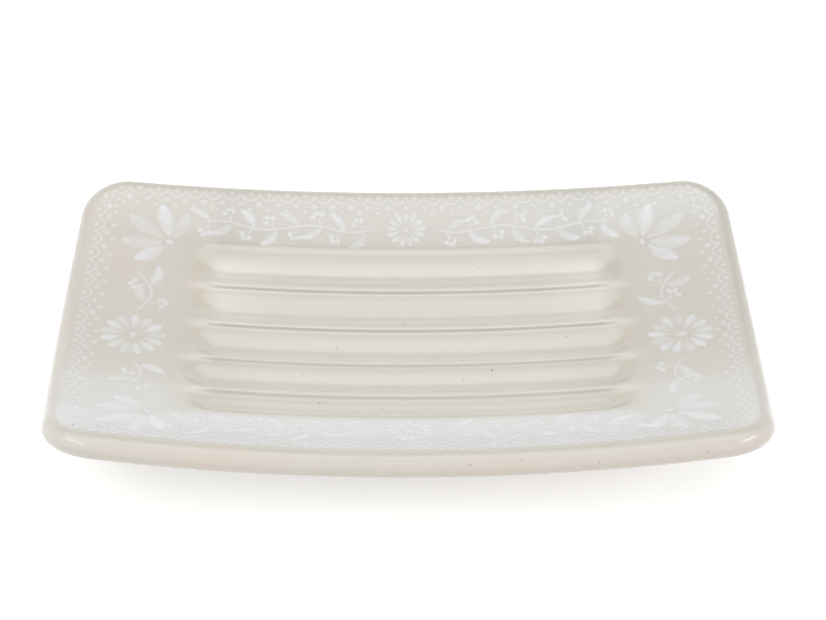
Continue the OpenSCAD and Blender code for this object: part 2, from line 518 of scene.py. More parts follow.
    def build(self) -> bpy.types.Object:
        """Builds the tray as one closed skin, and puts it in the place of its solid.

        Returns:
            The tray's object.
        """
        form = self.form
        share, angle = self.rows()
        column = self.columns()
        last_i, last_j = len(column) - 1, len(share) - 1
        grid_i, grid_j = np.meshgrid(np.arange(last_i + 1), np.arange(last_j + 1))
        plan = self.rounded(column[grid_i], share[grid_j], angle[grid_j],
                            form.half_l, form.half_w, form.arc_r)
        top = form.top(plan)

        edge_i = np.concatenate([np.arange(last_i), np.full(last_j, last_i),
                                 np.arange(last_i, 0, -1), np.zeros(last_j, int)])
        edge_j = np.concatenate([np.zeros(last_i, int), np.arange(last_j),
                                 np.full(last_i, last_j), np.arange(last_j, 0, -1)])
        rings, skin = self.rings(column[edge_i], share[edge_j], angle[edge_j])
        points = np.concatenate([top.reshape(-1, 3), rings.reshape(-1, 3),
                                 form.off_slab(np.zeros((1, 2)), -form.rim_r)])
        shades = {name: np.concatenate([values, below, [under]]) for (name, values), below, under
                  in zip(self.shades(plan).items(), skin.T, self.under_skin)}

        grid = np.arange(top.shape[0] * top.shape[1]).reshape(top.shape[:2])
        faces = np.stack([grid[:-1, :-1], grid[:-1, 1:], grid[1:, 1:], grid[1:, :-1]], -1)
        around = len(edge_i)
        loops = [grid[edge_j, edge_i]]
        loops += [grid.size + ring * around + np.arange(around) for ring in range(len(rings))]
        quads = [faces.reshape(-1, 4)]
        for upper, lower in zip(loops, loops[1:]):
            quads.append(np.stack([upper, lower, np.roll(lower, -1), np.roll(upper, -1)], -1))
        centre = len(points) - 1
        fan = [(int(a), centre, int(b)) for a, b in zip(loops[-1], np.roll(loops[-1], -1))]
        piece = smooth_mesh("glazed_tray", points, np.concatenate(quads).tolist() + fan, shades)
        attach(piece, "root")
        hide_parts("tray")
        return piece

    def rings(self, column: np.ndarray, share: np.ndarray,
              angle: np.ndarray) -> tuple[np.ndarray, np.ndarray]:
        """Works out the rings of points round the rim, underneath and round the seat.

        Args:
            column: Column share of each place round the edge.
            share: Row share of each place round the edge.
            angle: Corner angle of each place round the edge.

        Returns:
            The rings, from the top down and inwards, and three values for each of their
            points: the glaze's depth, how far the clay's warmth shows, and the painted sheen.
        """
        form = self.form
        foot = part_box("foot_ring")[1] / MM

        def outline(half_x: float, half_y: float, radius: float) -> np.ndarray:
            """Returns the edge's places on another rounded rectangle."""
            return self.rounded(column, share, angle, half_x, half_y, radius)

        def seat(grow: float) -> np.ndarray:
            """Returns the outline of the foot's seat, grown on all sides."""
            room = self.seat_margin + grow
            return outline(foot.x + room, foot.y + room, self.foot_r + room)

        edge = form.bowed(outline(form.half_l, form.half_w, form.arc_r))
        up = form.normal(edge)
        out_x, out_y = np.sign(column) * np.cos(angle), np.sin(angle)
        out = np.stack([out_x, out_y, np.zeros_like(angle)], -1)
        flat = out - np.sum(out * up, -1, keepdims=True) * up
        flat /= np.linalg.norm(flat, axis=-1, keepdims=True)

        rings, skin = [], []
        for turn in np.linspace(math.pi / 2, -math.pi / 2, self.rim_steps + 1)[1:]:
            rings.append(form.middle(edge)
                         + form.rim_r * (math.cos(turn) * flat + math.sin(turn) * up))
            below = min(1.0, 1 - math.sin(turn))
            skin.append(np.stack([
                read_off(self.rim_glaze_and_highlight, turn) + read_off(self.rim_ends, out_x),
                self.rim_warmth + self.near_rim_warmth * below * np.maximum(0, -out_y)
                + self.left_rim_warmth * np.maximum(0, -out_x),
                read_off(self.rim_sheen, out_x)], -1))
        even = np.broadcast_to(self.under_skin, (len(edge), 3))
        rolled = np.array((self.wall_roll, 0.0, 0.0))
        for part in np.linspace(0, 1, self.under_steps + 1)[1:]:
            rings.append(form.off_slab((1 - part) * edge + part * seat(self.root_w), -form.rim_r))
            skin.append(even)
        inner = -self.foot_t - 2 * self.seat_margin
        down = np.linspace(0, 1, self.wall_steps + 1)
        for part in down[1:]:
            rings.append(self.wall(seat, part, 0.0, self.root_w))
            skin.append(even + part * rolled)
        for part in down[::-1]:
            rings.append(self.wall(seat, part, inner, -self.root_w))
            skin.append(even + part * rolled)
        for part in np.linspace(0, 1, self.inner_steps + 1)[1:-1]:
            rings.append(form.off_slab((1 - part) * seat(inner - self.root_w), -form.rim_r))
            skin.append(even)
        return np.stack(rings), np.concatenate(skin)

    def wall(self, seat: Callable[[float], np.ndarray], part: float, foot: float,
             flare: float) -> np.ndarray:
        """Returns one ring of a wall of the foot's seat.

        Args:
            seat: Gives the seat's outline, grown by a distance.
            part: How far down the wall the ring lies, as a share.
            foot: How far the wall's foot is grown from the seat's outline.
            flare: How much further its root is grown.

        Returns:
            The ring's points.
        """
        form = self.form
        plan = seat(foot + flare * (1 - part) ** 2)
        root = form.off_slab(seat(foot + flare), -form.rim_r)[..., 2]
        return np.column_stack([plan, root + part * (form.foot_h - root)])

    def glaze_and_painted_light(self, plan: np.ndarray) -> np.ndarray:
        """Returns the glaze on the top: thin on crests, rolled beside them, with painted
        highlights and shade.
        """
        form = self.form
        x, y = form.bowed(plan)[..., 0], plan[..., 1]
        steps = y / form.flute_pitch + form.flute_n / 2
        ridge = np.clip(np.round(steps), 1, form.flute_n - 1).astype(int) - 1
        past = (steps - 1 - ridge) * form.flute_pitch + np.take(self.ridge_shift, ridge)
        past = np.where(past < 0, past / np.take(self.ridge_spread, ridge), past)
        run = (read_off(self.ridge_glaze_and_light, past)
               + np.take(self.slope_painted_light, ridge) * hump(past - self.slope_out, *self.slope_w)
               + np.take(self.crest_painted_light, ridge) * hump(past, *self.crest_w))

        inside = np.where(y < 0, form.near_lip, form.band_w + form.lip_w) - np.abs(y)
        by_lip = inside < np.abs(past)
        run = np.where(by_lip, read_off(self.lip_glaze_and_light, inside), run)
        in_near = (y < 0) & (inside < self.near_glaze_and_light[-1][0])
        run = np.where(in_near, read_off(self.near_glaze_and_light, inside), run)
        run = run - read_off(self.end_painted_shade, y) * ramp(np.abs(x), *self.end_run)

        beyond = form.beyond(x, y)
        margin = self.even_glaze - self.margin_thin * ramp(
            beyond, -self.margin_in, form.run_out - self.margin_in)
        tail = self.tail_glaze_and_highlight * (hump(past, *self.tail_w) * ~by_lip
                                  * hump(beyond - self.tail_out, *self.tail_l))
        return margin + tail + (run - margin) * (1 - ramp(beyond, 0, form.run_out / 2))

    def warmth(self, plan: np.ndarray) -> np.ndarray:
        """Returns how far the clay's warmth shows on the top: most where the flutes run out."""
        form = self.form
        x, y = form.bowed(plan)[..., 0], plan[..., 1]
        far_left = ramp(-x, *self.corner_warm_x) * ramp(y, *self.corner_warm_y)
        return (read_off(self.end_warmth, form.beyond(x, y) / form.run_out)
                + self.corner_warmth * far_left)

    def painted_sheen(self, plan: np.ndarray) -> np.ndarray:
        """Returns the painted sheen on the borders: a pale bluish wash that stands in for
        reflection.
        """
        form = self.form
        x, y = form.bowed(plan)[..., 0], plan[..., 1]
        right = x / form.half_l
        past = ramp(form.beyond(x, y) - form.run_out, *self.sheen_turn)
        load = np.where(y < 0, self.near_sheen - self.near_sheen_less * past * (x > 0),
                        self.far_sheen + self.far_sheen_slant * right)
        lip = np.where(y < 0, form.near_lip, form.band_w + form.lip_w) - self.sheen_in
        band = load * ramp(np.abs(y), lip - self.sheen_rise * past,
                           lip + self.sheen_rise + self.sheen_spread * past)
        corner = (self.corner_sheen - self.corner_sheen_less * right) * past * np.maximum(
            self.end_sheen_share, ramp(-y, *self.corner_sheen_y))
        return np.maximum(band, corner) * np.clip(form.half_w - np.abs(y), 0, 1)

    def shades(self, plan: np.ndarray) -> dict[str, np.ndarray]:
        """Returns what the glaze's material reads at places of the plan, by its names."""
        return {"glaze_and_painted_light": self.glaze_and_painted_light(plan).ravel(),
                "clay_warmth": self.warmth(plan).ravel(),
                "painted_sheen_share": self.painted_sheen(plan).ravel()}


class Side(Enum):
    """A side of the dish, by the quarter turns from the near side to it."""

    NEAR = 0
    RIGHT = 1
    FAR = 2
    LEFT = 3


class SlipBrush:
    """A brush loaded with white slip, which lays low strokes on the glazed top."""

    # Places across a stroke as shares of its half width; the outermost lie below the glaze
    ACROSS = np.array([-1.2, -1.0, -0.8, -0.45, 0.0, 0.45, 0.8, 1.0, 1.2])
    # Highest that the slip stands proud, also as a share of a thin stroke's half width
    CROWN = 0.06
    CROWN_SHARE = 0.15
    # How far a stroke's edge, skirt and underside lie below the glaze
    EDGE_SINK = 0.012
    SKIRT_SINK = 0.06
    ROOT_SINK = 0.15
    # Least half width, at a stroke's tips
    TIP = 0.04
    # How late the cover fades on the way to a stroke's edge, as a power
    FADE = 1.7
    # How much a line's width wanders, how fast and from where, and how blunt its ends are
    WANDER = 0.12
    WANDER_RATE = (3, 9)
    WANDER_START = (0, 6)
    BLUNT = 12
    # A petal's places along it, how fully its outline swells, its load of slip, and the
    # share of that at its root
    PETAL_STEPS = 15
    SWELL = 0.8
    PETAL_LOAD = (0.45, 0.95)
    ROOT_LOAD = 0.55
    # A dot's places along it, and how its size and its load vary
    DOT_STEPS = 9
    DOT_SPREAD = (0.85, 1.1)

    def __init__(self, tray: GlazedTray, seed: int) -> None:
        """Loads the brush.

        Args:
            tray: The tray that it paints.
            seed: Seed of the hand's small unevenness.
        """
        self.tray = tray
        self.hand = np.random.default_rng(seed)
        self.strokes: list[tuple[np.ndarray, np.ndarray, np.ndarray]] = []

    def line(self, path: np.ndarray, half_w: float, white: float = 0.5) -> None:
        """Trails a line of nearly even width with rounded ends.

        Args:
            path: Plan places along it.
            half_w: Half its width.
            white: How thickly the slip covers, from 0 to 1.
        """
        run = np.linspace(-1, 1, len(path))
        ends = np.sqrt(1 - np.abs(run) ** self.BLUNT)
        wander = 1 + self.WANDER * np.sin(run * self.hand.uniform(*self.WANDER_RATE)
                                          + self.hand.uniform(*self.WANDER_START))
        self.strokes.append((path, half_w * ends * wander, np.full(len(path), white)))

    def petal(self, root: np.ndarray, tip: np.ndarray, half_w: float, bend: float,
              widest: float) -> None:
        """Presses a petal or leaf, with more slip towards its tip.

        Args:
            root: Plan place where it starts.
            tip: Plan place where it ends.
            half_w: Half its greatest width.
            bend: How far its middle bows to the left, as a share of its length.
            widest: Where it is widest, as a share of its length.
        """
        run = np.linspace(0, 1, self.PETAL_STEPS)
        reach = tip - root
        bow = (4 * bend * run * (1 - run))[:, None] * leftward(reach)
        path = root + run[:, None] * reach + bow
        power = math.log(0.5) / math.log(widest)
        swell = np.sin(math.pi * run ** power) ** self.SWELL
        load = self.hand.uniform(*self.PETAL_LOAD)
        self.strokes.append((path, half_w * swell,
                             load * (self.ROOT_LOAD + (1 - self.ROOT_LOAD) * run)))

    def dot(self, centre: np.ndarray, radius: float, white: float = 0.65) -> None:
        """Drops a round dot of slip.

        Args:
            centre: Its plan place.
            radius: Its radius.
            white: How thickly the slip covers, from 0 to 1.
        """
        way = toward(self.hand.uniform(0, math.pi))
        size = radius * self.hand.uniform(*self.DOT_SPREAD)
        run = -np.cos(np.linspace(0, math.pi, self.DOT_STEPS))
        self.strokes.append((centre + size * run[:, None] * way,
                             size * np.sqrt(np.maximum(0, 1 - run ** 2)),
                             np.full(len(run), white * self.hand.uniform(*self.DOT_SPREAD))))

    def lay(self, name: str) -> bpy.types.Object:
        """Makes one piece of all the strokes, each a closed ribbon sunk into the glaze.

        Args:
            name: The piece's name.

        Returns:
            The piece, riding on the dish's body.
        """
        points, faces, depths, plans = [], [], [], []
        first = 0
        form, across = self.tray.form, self.ACROSS
        for path, half_w, white in self.strokes:
            half = np.maximum(half_w, self.TIP)[:, None]
            ahead = np.gradient(path, axis=0)
            ahead /= np.linalg.norm(ahead, axis=-1, keepdims=True)
            crown = np.minimum(self.CROWN, self.CROWN_SHARE * half)
            lift = crown * (1 - across ** 2) - self.EDGE_SINK
            lift[:, [0, -1]] = -self.SKIRT_SINK
            place = path[:, None] + (across * half)[..., None] * leftward(ahead)[:, None]
            beneath = place[:, [-2, 1]]
            rings = np.concatenate([form.top(place, lift), form.top(beneath, -self.ROOT_SINK)], 1)
            around = rings.shape[1]
            ids = first + np.arange(rings.shape[0] * around).reshape(-1, around)
            beside = np.roll(ids, -1, 1)
            faces += np.stack([ids[:-1], ids[1:], beside[1:], beside[:-1]],
                              -1).reshape(-1, 4).tolist()
            faces += [ids[0].tolist(), ids[-1, ::-1].tolist()]
            cover = white[:, None] * np.maximum(0, 1 - np.abs(across) ** self.FADE)
            depths.append(np.concatenate([cover, np.zeros((len(cover), 2))], 1).ravel())
            plans.append(np.concatenate([place, beneath], 1).reshape(-1, 2))
            points.append(rings.reshape(-1, 3))
            first += rings.shape[0] * around
        piece = smooth_mesh(name, np.concatenate(points), faces,
                            {"slip_depth": np.concatenate(depths),
                             **self.tray.shades(np.concatenate(plans))})
        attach(piece, "root")
        return piece


@dataclass(frozen=True)
class VineLay:
    """Where a side's vine runs, and how large the motifs on it are."""

    # Distance in from the rim's centre line, and how far and how often the vine swings
    middle: float
    swing: float
    wave: float
    # Where it starts and ends, from the middle of the side
    run: Span
    # Size of its leaves and berries beside the largest ones
    share: float
    daisy_r: float


@dataclass
class SlipBorder:
    """The border's decoration in white slip: scallops at the rim, vines, daisies, sprays."""

    tray: GlazedTray
    # The edging: a row of scallops, each with a dot, and rows of dots inside it
    scallop_w: float = 4.2
    scallop_in: float = 0.6
    # How far in they lie on the far side, where they run on to the rim's round
    scallop_far: float = -0.6
    scallop_deep: float = 2.2
    # Half a scallop's own width, as a share of the step from one to the next
    scallop_share: float = 0.46
    scallop_steps: int = 13
    trail: float = 0.4
    dot_r: float = 0.9
    # How far in a scallop's dot lies, and its size beside the first row's
    held_in: float = 0.5
    held_share: float = 0.8
    # How far in the rows lie, and how much smaller each one's dots are
    dot_rows: tuple[float, ...] = (3.0, 4.4)
    row_less: float = 0.2
    edging_white: float = 0.42
    # The vines on the near side, the far one and the ends, each with a daisy in its middle
    near_vine: VineLay = VineLay(10.6, 1.0, 20.0, (7.5, 46.0), 0.95, 5.0)
    far_vine: VineLay = VineLay(8.1, 0.8, 20.0, (6.6, 46.0), 0.92, 4.6)
    end_vine: VineLay = VineLay(12.6, 2.6, 22.0, (8.5, 21.0), 1.0, 7.0)
    vine_steps: int = 60
    # How far ahead the vine's direction is taken
    look: float = 0.5
    # A leaf, with its direction as shares ahead and to the side
    leaf_l: float = 6.4
    leaf_w: float = 1.45
    leaf_way: Span = (0.75, 0.66)
    leaf_bend: float = 0.14
    leaf_widest: float = 0.5
    # A berry's stalk, with its direction, its width beside the vine's, and its steps
    stalk_l: float = 2.8
    stalk_way: Span = (0.5, 0.87)
    stalk_share: float = 0.7
    stalk_steps: int = 6
    # The berries: their distance from the stalk's tip, the angle between them, their radius
    berry_out: float = 1.15
    berry_fan: float = 1.3
    berry_r: float = 0.85
    # A daisy's petals, the first one's turn as a share of a step, and as shares of the
    # daisy's radius where they start and their half width; then where along them they are
    # widest, and the heart's share of the radius
    petals: int = 13
    petal_turn: float = 0.25
    petal_in: float = 0.3
    petal_w: float = 0.2
    petal_widest: float = 0.62
    heart_r: float = 0.16
    # The spray of leaves in each corner: how far in its root lies from the end and the side,
    # how its middle leaf leans from the side, and its leaves' turns from that one
    spray_in: Span = (17.5, 14.0)
    spray_lean: float = 36.0
    spray_turns: tuple[float, ...] = (-74.0, -37.0, 0.0, 37.0, 74.0)
    # Its leaves: where they start, their length, how much of it they lose by each degree of
    # turn, their half width, their bow, where they are widest, and the dot at the root
    spray_start: float = 1.2
    spray_l: float = 12.5
    spray_less: float = 0.0035
    spray_w: float = 2.3
    spray_bend: float = 0.05
    spray_widest: float = 0.55
    spray_dot: float = 0.8

    @property
    def form(self) -> DishForm:
        """The dish's shape."""
        return self.tray.form

    def on_side(self, side: Side, along: np.ndarray | float,
                inward: np.ndarray | float) -> np.ndarray:
        """Returns plan places from distances along a side and inwards from its rim."""
        reach = self.form.half_l if side in (Side.RIGHT, Side.LEFT) else self.form.half_w
        turn = side.value * math.pi / 2
        along, inward = np.broadcast_arrays(along, inward)
        out = inward - reach
        return np.stack([math.cos(turn) * along - math.sin(turn) * out,
                         math.sin(turn) * along + math.cos(turn) * out], -1)

    def on_edge(self, run: np.ndarray | float, inward: np.ndarray | float) -> np.ndarray:
        """Returns plan places from the distance run round the rim, and inwards from it."""
        form = self.form
        arc = form.arc_r * math.pi / 2
        run, inward = np.broadcast_arrays(np.asarray(run, float), inward)
        places = np.zeros(run.shape + (2,))
        start = 0.0
        for side in Side:
            long_side = side in (Side.NEAR, Side.FAR)
            straight = 2 * ((form.half_l if long_side else form.half_w) - form.arc_r)
            past = run - start
            on_line = (past >= 0) & (past < straight)
            places[on_line] = self.on_side(side, past[on_line] - straight / 2, inward[on_line])
            on_arc = (past >= straight) & (past < straight + arc)
            turn = (past[on_arc] - straight) / form.arc_r
            small = form.arc_r - inward[on_arc]
            places[on_arc] = self.on_side(side, straight / 2 + small * np.sin(turn),
                                          form.arc_r - small * np.cos(turn))
            start += straight + arc
        return places

    @property
    def edge_l(self) -> float:
        """Length of the rim's centre line, all the way round."""
        form = self.form
        return 4 * (form.half_l + form.half_w - 2 * form.arc_r) + 2 * math.pi * form.arc_r

    def edging(self) -> bpy.types.Object:
        """Trails the scallops at the rim, with their dots."""
        form = self.form
        brush = SlipBrush(self.tray, 1)
        count = round(self.edge_l / self.scallop_w)
        step = self.edge_l / count
        turn = np.linspace(0, math.pi, self.scallop_steps)
        for number in range(count):
            centre = (number + 0.5) * step
            start = np.interp(self.on_edge(centre, 0.0)[1],
                              (form.half_w - form.arc_r, form.half_w),
                              (self.scallop_in, self.scallop_far))
            arch = self.on_edge(centre - self.scallop_share * step * np.cos(turn),
                                start + self.scallop_deep * np.sin(turn))
            brush.line(arch, self.trail, self.edging_white)
            brush.dot(self.on_edge(centre, start + self.held_in), self.held_share * self.dot_r,
                      self.edging_white)
            for row, inward in enumerate(self.dot_rows):
                shift = 0.5 * ((row + 1) % 2) * step
                brush.dot(self.on_edge((centre + shift) % self.edge_l, start + inward),
                          self.dot_r * (1 - self.row_less * row), self.edging_white)
        return brush.lay("slip_edging")

    def lay(self, side: Side) -> VineLay:
        """Returns how a side's vine lies."""
        return {Side.NEAR: self.near_vine, Side.FAR: self.far_vine}.get(side, self.end_vine)

    def vine_place(self, side: Side, hand: int, run: np.ndarray | float) -> np.ndarray:
        """Returns plan places on a side's vine, run from the middle towards one hand."""
        vine = self.lay(side)
        phase = 2 * math.pi * (np.asarray(run) - vine.run[0]) / vine.wave
        return self.on_side(side, hand * np.asarray(run), vine.middle + vine.swing * np.sin(phase))

    def vines(self) -> tuple[bpy.types.Object, bpy.types.Object, bpy.types.Object]:
        """Trails the vines, and paints their leaves and berries."""
        stems, leaves, berries = (SlipBrush(self.tray, seed) for seed in (2, 3, 4))
        for side in Side:
            vine = self.lay(side)
            share, quarter_l = vine.share, vine.wave / 4
            forks = np.arange(vine.run[0] + quarter_l / 2, vine.run[1], quarter_l)
            for hand in (-1, 1):
                run = np.linspace(*vine.run, self.vine_steps)
                stems.line(self.vine_place(side, hand, run), self.trail)
                for number, place in enumerate(forks):
                    here = self.vine_place(side, hand, place)
                    ahead = self.vine_place(side, hand, place + self.look) - here
                    ahead /= np.linalg.norm(ahead)
                    for flank in (-1, 1):
                        aside = flank * leftward(ahead)
                        # Leaves and berries take turns, and face each other across the vine
                        if (number + (flank > 0)) % 2:
                            way = self.leaf_way[0] * ahead + self.leaf_way[1] * aside
                            leaves.petal(here, here + share * self.leaf_l * way,
                                         share * self.leaf_w, self.leaf_bend * flank,
                                         self.leaf_widest)
                            continue
                        way = self.stalk_way[0] * ahead + self.stalk_way[1] * aside
                        tip = here + share * self.stalk_l * way
                        stems.line(np.linspace(here, tip, self.stalk_steps),
                                   self.stalk_share * self.trail)
                        for turn in (-1, 0, 1):
                            out = toward(math.atan2(way[1], way[0]) + turn * self.berry_fan)
                            berries.dot(tip + self.berry_out * share * out,
                                        self.berry_r * share)
        return stems.lay("slip_vines"), leaves.lay("slip_leaves"), berries.lay("slip_berries")

    def daisies(self) -> bpy.types.Object:
        """Paints a many-petalled daisy at the middle of each side."""
        brush = SlipBrush(self.tray, 5)
        for side in Side:
            radius = self.lay(side).daisy_r
            heart = self.on_side(side, 0.0, self.lay(side).middle)
            for number in range(self.petals):
                way = radius * toward(2 * math.pi * (number + self.petal_turn) / self.petals)
                brush.petal(heart + self.petal_in * way, heart + way, self.petal_w * radius,
                            0.0, self.petal_widest)
            brush.dot(heart, self.heart_r * radius)
        return brush.lay("slip_daisies")

    def sprays(self) -> bpy.types.Object:
        """Paints a fan of leaves in each corner, with a dot at its root."""
        form = self.form
        brush = SlipBrush(self.tray, 6)
        for x_hand in (-1, 1):
            for y_hand in (-1, 1):
                hand = np.array([x_hand, y_hand])
                root = hand * (np.array([form.half_l, form.half_w]) - self.spray_in)
                for turn in self.spray_turns:
                    way = hand * toward(math.radians(self.spray_lean + turn))
                    length = self.spray_l * (1 - self.spray_less * abs(turn))
                    brush.petal(root + self.spray_start * way, root + length * way, self.spray_w,
                                self.spray_bend * x_hand * y_hand * np.sign(turn),
                                self.spray_widest)
                brush.dot(root, self.spray_dot)
        return brush.lay("slip_sprays")

    def build(self) -> list[bpy.types.Object]:
        """Returns the decoration's pieces."""
        return [self.edging(), *self.vines(), self.daisies(), self.sprays()]


@dataclass(frozen=True)
class Specks:
    """One set of iron specks in the glaze."""

    # Spacing in millimetres, and the greatest radius as a share of it
    gap: float
    largest: float
    # Share of the places that have a speck, and how strongly one shows
    seen: float
    strength: float


@dataclass(frozen=True)
class SpeckledGlaze:
    """Oatmeal stoneware glaze, dipped and fired glossy over an iron-bearing clay.

    To the eye it is a milky, slightly warm grey-white. It is creamier where it pools in
    the flutes, greyer where it is thin on an edge, and dotted with small iron specks. Its
    creamy and grey bands also carry painted highlights and painted shade, and a pale bluish
    painted sheen lies on the borders.
    """

    even: str = "#D0CCC1"
    # Greyer where the glaze is thin, also painted shade on ridges, lips and flute ends
    thin_and_shaded: str = "#B4B1A8"
    # Creamier where it pools, also painted highlights on ridges, lips and the rim
    rolled: str = "#EBE9E3"
    blush: str = "#DFCBC0"
    speck: str = "#6E6355"
    # Pale bluish white of the painted sheen on the borders and rim, standing in for reflection
    painted_sheen: str = "#DCDEE0"
    # Depth at which the glaze has its even colour
    even_depth: float = 0.5
    # Width of the soft patches where the tint shifts, and between which values of the noise
    # it comes on
    patch: float = 26.0
    patch_span: Span = (0.15, 0.75)
    specks: tuple[Specks, ...] = (Specks(1.7, 0.12, 0.6, 0.55), Specks(6.0, 0.07, 0.5, 0.85))
    # How wide a speck's soft edge is, as a share of the greatest radius
    speck_soft: float = 0.4
    # Spacing of the glaze's faint ripples, their height in millimetres, and their strength
    ripple: float = 7.0
    ripple_h: float = 0.2
    ripple_strength: float = 0.2
    roughness: float = 0.15
    ior: float = 1.55

    def speckled(self, tree: Tree, place: Socket, specks: Specks) -> Socket:
        """Adds the nodes for one set of specks.

        Args:
            tree: The material's node tree.
            place: Output socket of the place on the object.
            specks: The set.

        Returns:
            The output socket of the specks' cover.
        """
        cells = add_node(tree, "ShaderNodeTexVoronoi", {},
                         {"Vector": place, "Scale": per_mm(specks.gap)})
        lot = add_node(tree, "ShaderNodeSeparateColor", {}, {"Color": cells.outputs["Color"]})
        radius = add_node(tree, "ShaderNodeMapRange", {},
                          {"Value": lot.outputs["Red"], "From Min": 1 - specks.seen,
                           "From Max": 1.0, "To Max": specks.largest})
        inside = add_node(tree, "ShaderNodeMath", {"operation": "SUBTRACT"},
                          {0: radius.outputs["Result"], 1: cells.outputs["Distance"]})
        cover = add_node(tree, "ShaderNodeMapRange", {},
                         {"Value": inside.outputs[0],
                          "From Max": specks.largest * self.speck_soft,
                          "To Max": specks.strength})
        return cover.outputs["Result"]

    def colour(self, tree: Tree) -> Socket:
        """Adds the nodes for the glaze's colour.

        Args:
            tree: The material's node tree.

        Returns:
            The colour's output socket.
        """
        place = add_node(tree, "ShaderNodeTexCoord").outputs["Object"]
        # The glaze's depth also carries painted highlights and shade, and the last of these is the
        # painted sheen
        depth, warmth, painted_sheen = (
            add_node(tree, "ShaderNodeAttribute", {"attribute_name": name}).outputs["Fac"]
            for name in ("glaze_and_painted_light", "clay_warmth", "painted_sheen_share"))
        # The pooled share also paints highlights, and the thinned one paints shade
        pooled_and_highlit, thin_and_shaded_share = (
            add_node(tree, "ShaderNodeMapRange", {},
                     {"Value": depth, "From Min": self.even_depth, "From Max": end})
            for end in (1.0, 0.0))
        clouds = add_node(tree, "ShaderNodeTexNoise", {},
                          {"Vector": place, "Scale": per_mm(self.patch), "Detail": 2.0})
        patches = add_node(tree, "ShaderNodeMapRange", {},
                           {"Value": clouds.outputs["Fac"], "From Min": self.patch_span[0],
                            "From Max": self.patch_span[1]})
        tint = add_node(tree, "ShaderNodeMath", {"operation": "MULTIPLY"},
                        {0: patches.outputs["Result"], 1: warmth})
        # From the glaze's even colour outwards, each layer's cover and its colour
        layers = [(pooled_and_highlit.outputs["Result"], self.rolled), (thin_and_shaded_share.outputs["Result"], self.thin_and_shaded),
                  (tint.outputs[0], self.blush), (painted_sheen, self.painted_sheen)]
        layers += [(self.speckled(tree, place, specks), self.speck) for specks in self.specks]
        colour = linear(self.even)
        for cover, shade in layers:
            colour = add_node(tree, "ShaderNodeMix", {"data_type": "RGBA"},
                              {MIX_FACTOR: cover, MIX_A: colour,
                               MIX_B: linear(shade)}).outputs[MIX_RESULT]
        return colour

    def gloss(self, tree: Tree, colour: Socket) -> None:
        """Adds the glossy shader, with the glaze's faint ripples, over a colour.

        Args:
            tree: The material's node tree.
            colour: Output socket of the colour under the gloss.
        """
        place = add_node(tree, "ShaderNodeTexCoord").outputs["Object"]
        waves = add_node(tree, "ShaderNodeTexNoise", {},
                         {"Vector": place, "Scale": per_mm(self.ripple), "Detail": 1.0})
        bump = add_node(tree, "ShaderNodeBump", {},
                        {"Height": waves.outputs["Fac"], "Strength": self.ripple_strength,
                         "Distance": self.ripple_h * MM})
        shader = add_node(tree, "ShaderNodeBsdfPrincipled", {},
                          {"Base Color": colour, "Roughness": self.roughness, "IOR": self.ior,
                           "Normal": bump.outputs["Normal"]})
        add_node(tree, "ShaderNodeOutputMaterial", {}, {"Surface": shader.outputs["BSDF"]})

    def build(self) -> bpy.types.Material:
        """Returns the tray's material."""
        material, tree = new_material("stoneware_glaze_dipped")
        self.gloss(tree, self.colour(tree))
        return material


@dataclass(frozen=True)
class WhiteSlip:
    """White clay slip, trailed and brushed on, then glazed over.

    To the eye it is milk-white where the brush left most, and fades into the glaze's own
    colour at its edges and where it ran thin.
    """

    milk: str = "#E7E9EF"
    # Width of the brush's streaks, between which values of the noise they run, and the
    # least share of the slip that they leave
    streak: float = 1.6
    streak_span: Span = (0.3, 0.65)
    least: float = 0.6

    def build(self, glaze: SpeckledGlaze) -> bpy.types.Material:
        """Builds the material of the decoration.

        Args:
            glaze: The glaze that the slip fades into, and that gives it its gloss.

        Returns:
            The material.
        """
        material, tree = new_material("white_slip_brushed")
        place = add_node(tree, "ShaderNodeTexCoord").outputs["Object"]
        depth = add_node(tree, "ShaderNodeAttribute", {"attribute_name": "slip_depth"})
        streaks = add_node(tree, "ShaderNodeTexNoise", {},
                           {"Vector": place, "Scale": per_mm(self.streak), "Detail": 3.0})
        left = add_node(tree, "ShaderNodeMapRange", {},
                        {"Value": streaks.outputs["Fac"], "From Min": self.streak_span[0],
                         "From Max": self.streak_span[1], "To Min": self.least})
        cover = add_node(tree, "ShaderNodeMath", {"operation": "MULTIPLY", "use_clamp": True},
                         {0: depth.outputs["Fac"], 1: left.outputs["Result"]})
        colour = add_node(tree, "ShaderNodeMix", {"data_type": "RGBA"},
                          {MIX_FACTOR: cover.outputs[0], MIX_A: glaze.colour(tree),
                           MIX_B: linear(self.milk)})
        glaze.gloss(tree, colour.outputs[MIX_RESULT])
        return material


@dataclass(frozen=True)
class Tint:
    """One tint that shows in patches on bare clay."""

    colour: str
    # Width of the patches, and the noise in them: its detail and roughness
    size: float
    detail: float
    roughness: float
    # Between which values of the noise the tint comes on, and how far it covers at most
    span: Span
    most: float


